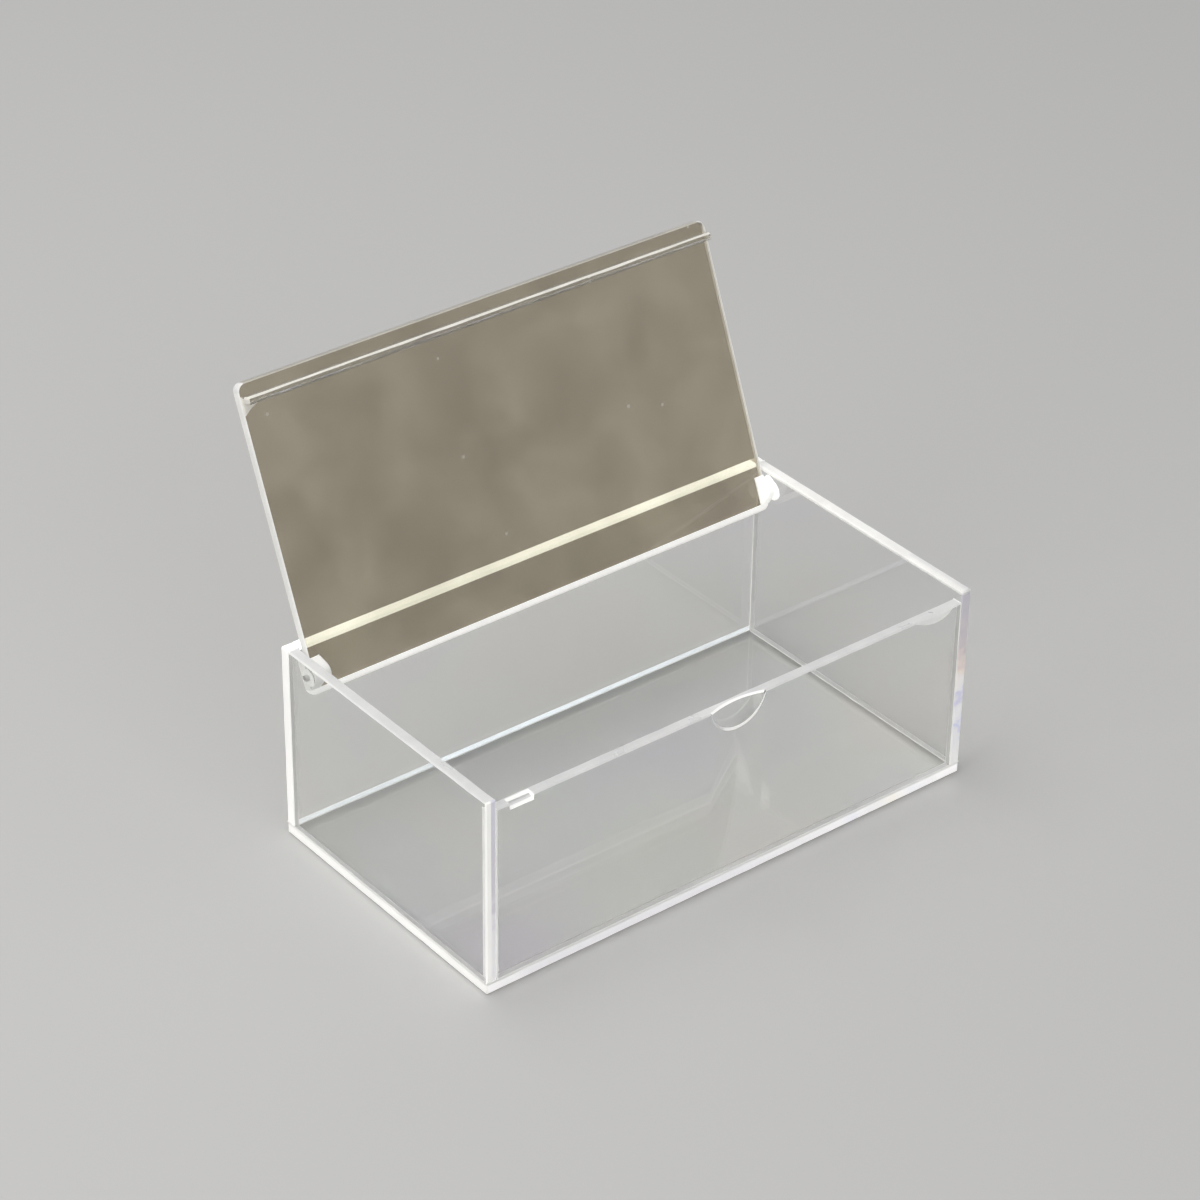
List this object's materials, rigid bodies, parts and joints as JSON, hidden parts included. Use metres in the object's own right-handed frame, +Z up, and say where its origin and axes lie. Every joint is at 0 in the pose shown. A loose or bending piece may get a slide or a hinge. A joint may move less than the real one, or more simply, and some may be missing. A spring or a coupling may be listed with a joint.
{
  "type": "hinged acrylic box",
  "caption": "Clear rectangular keepsake box of cemented acrylic sheet, with a thumb scoop in the front wall and a lid that swings up on hidden pins and leans back open.",
  "frame": {"origin": "centre of the case's underside, on the surface it stands on", "axes": "+X along the box to the right seen from the front, +Y to the back where the hinge is, +Z up"},
  "size_m": [0.15, 0.1043, 0.1165],
  "materials": {
    "case_acrylic": "polished clear acrylic sheet with whitish sawn edges",
    "lid_acrylic": "polished clear acrylic sheet with a faint smoke-beige haze and whitish edges",
    "hinge_acrylic": "small sawn and cemented clear acrylic pieces that look milky"
  },
  "bodies": {
    "case": {"base_panel": "case_acrylic", "back_wall": "case_acrylic", "front_wall": "case_acrylic", "left_wall": "case_acrylic", "right_wall": "case_acrylic", "left_hinge_pin": "hinge_acrylic", "right_hinge_pin": "hinge_acrylic"},
    "lid": {"lid_panel": "lid_acrylic", "lid_lip": "lid_acrylic", "left_hinge_ear": "hinge_acrylic", "right_hinge_ear": "hinge_acrylic"}
  },
  "joints": [
    {"name": "lid_hinge", "type": "hinge", "parent": "case", "child": "lid", "pos_m": [0, 0.03135, 0.0506], "axis": [1, 0, 0], "range_deg": [0, 113]}
  ]
}
